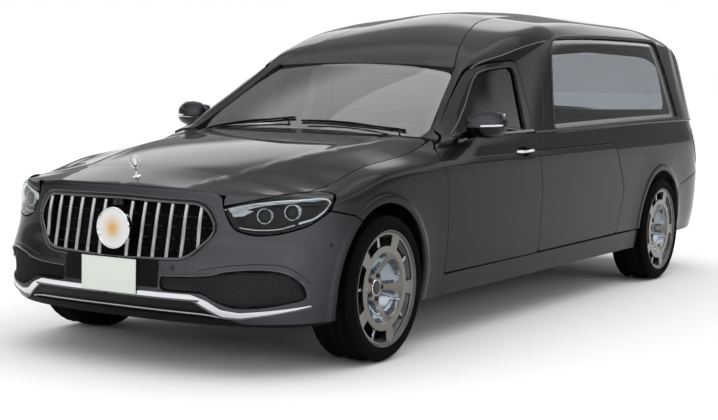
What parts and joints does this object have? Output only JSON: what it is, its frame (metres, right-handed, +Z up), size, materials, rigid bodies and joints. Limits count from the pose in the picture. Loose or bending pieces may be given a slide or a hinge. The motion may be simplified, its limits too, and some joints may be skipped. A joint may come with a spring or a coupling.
{
  "type": "hearse",
  "caption": "Dark stretched estate-type hearse with a raised glazed canopy, long bonnet, opening doors, tailgate, steering and rolling wheels and a coffin deck.",
  "frame": {"origin": "on the ground under the centre of the bounding box", "axes": "+Z up, nose towards -Y, the left side of the car towards +X"},
  "size_m": [2.056, 5.7, 1.744],
  "materials": {
    "paint": "gloss",
    "black_trim": "gloss",
    "black_plastic": "satin",
    "chrome": "polished",
    "glass": "polished",
    "lamp_glass": "polished",
    "red_lamp": "gloss",
    "alloy": "machined",
    "tyre_rubber": "matte",
    "steel": "satin",
    "cast": "rough",
    "floor_steel": "satin",
    "leather": "satin",
    "soft_black": "matte",
    "deck_wood": "lacquered",
    "fabric_panel": "matte",
    "plate": "gloss",
    "badge": "gloss"
  },
  "bodies": {
    "body": {"bumper_blade": "chrome", "centre_console": "soft_black", "dashboard": "soft_black", "deck_base": "deck_wood", "engine": "cast", "exhaust": "steel", "floor_pan": "floor_steel", "front_bumper": "paint", "front_plate": "plate", "front_subframe": "cast", "fuel_tank": "black_plastic", "grille": "chrome", "grille_disc": "badge", "headlamps": "lamp_glass", "intake_grilles": "black_plastic", "load_deck": "deck_wood", "partition": "fabric_panel", "quarters": "paint", "radiator": "alloy", "rear_axle": "cast", "rear_bumper": "paint", "roller_track": "steel", "roof": "paint", "seats": "leather", "side_frames": "paint", "side_panels": "paint", "side_windows": "glass", "sills": "paint", "steering_wheel": "leather", "tail_lamps": "red_lamp", "wheel_liners": "black_plastic", "windscreen": "glass", "wings": "paint"},
    "bonnet": {"bonnet": "paint"},
    "door_left": {"door_left": "paint", "door_glass_left": "glass", "mirror_left": "black_trim"},
    "door_right": {"door_right": "paint", "door_glass_right": "glass", "mirror_right": "black_trim"},
    "tailgate": {"tailgate": "paint", "tailgate_glass": "glass", "rear_plate": "plate"},
    "knuckle_left": {"knuckle_left": "cast"},
    "knuckle_right": {"knuckle_right": "cast"},
    "wheel_front_left": {"rim_front_left": "alloy", "tyre_front_left": "tyre_rubber"},
    "wheel_front_right": {"rim_front_right": "alloy", "tyre_front_right": "tyre_rubber"},
    "wheel_rear_left": {"rim_rear_left": "alloy", "tyre_rear_left": "tyre_rubber"},
    "wheel_rear_right": {"rim_rear_right": "alloy", "tyre_rear_right": "tyre_rubber"}
  },
  "joints": [
    {"name": "steer_left", "type": "hinge", "parent": "body", "child": "knuckle_left", "pos_m": [0.8025, -1.988, 0.34], "axis": [0, 0, 1], "range_deg": [-35, 35]},
    {"name": "steer_right", "type": "hinge", "parent": "body", "child": "knuckle_right", "pos_m": [-0.8025, -1.988, 0.34], "axis": [0, 0, 1], "range_deg": [-35, 35]},
    {"name": "wheel_front_left_spin", "type": "hinge", "parent": "knuckle_left", "child": "wheel_front_left", "pos_m": [0.8025, -1.988, 0.34], "axis": [1, 0, 0], "continuous": true},
    {"name": "wheel_front_right_spin", "type": "hinge", "parent": "knuckle_right", "child": "wheel_front_right", "pos_m": [-0.8025, -1.988, 0.34], "axis": [1, 0, 0], "continuous": true},
    {"name": "wheel_rear_left_spin", "type": "hinge", "parent": "body", "child": "wheel_rear_left", "pos_m": [0.8025, 1.692, 0.34], "axis": [1, 0, 0], "continuous": true},
    {"name": "wheel_rear_right_spin", "type": "hinge", "parent": "body", "child": "wheel_rear_right", "pos_m": [-0.8025, 1.692, 0.34], "axis": [1, 0, 0], "continuous": true},
    {"name": "door_left_swing", "type": "hinge", "parent": "body", "child": "door_left", "pos_m": [0.93, -1.388, 0.65], "axis": [0, 0, -1], "range_deg": [0, 65]},
    {"name": "door_right_swing", "type": "hinge", "parent": "body", "child": "door_right", "pos_m": [-0.93, -1.388, 0.65], "axis": [0, 0, 1], "range_deg": [0, 65]},
    {"name": "bonnet_lift", "type": "hinge", "parent": "body", "child": "bonnet", "pos_m": [0, -1.228, 0.985], "axis": [-1, 0, 0], "range_deg": [0, 50]},
    {"name": "tailgate_lift", "type": "hinge", "parent": "body", "child": "tailgate", "pos_m": [0, 2.412, 1.65], "axis": [1, 0, 0], "range_deg": [0, 80]}
  ],
  "couplings": [
    {"joint": "steer_right", "follows": "steer_left", "ratio": 1}
  ]
}
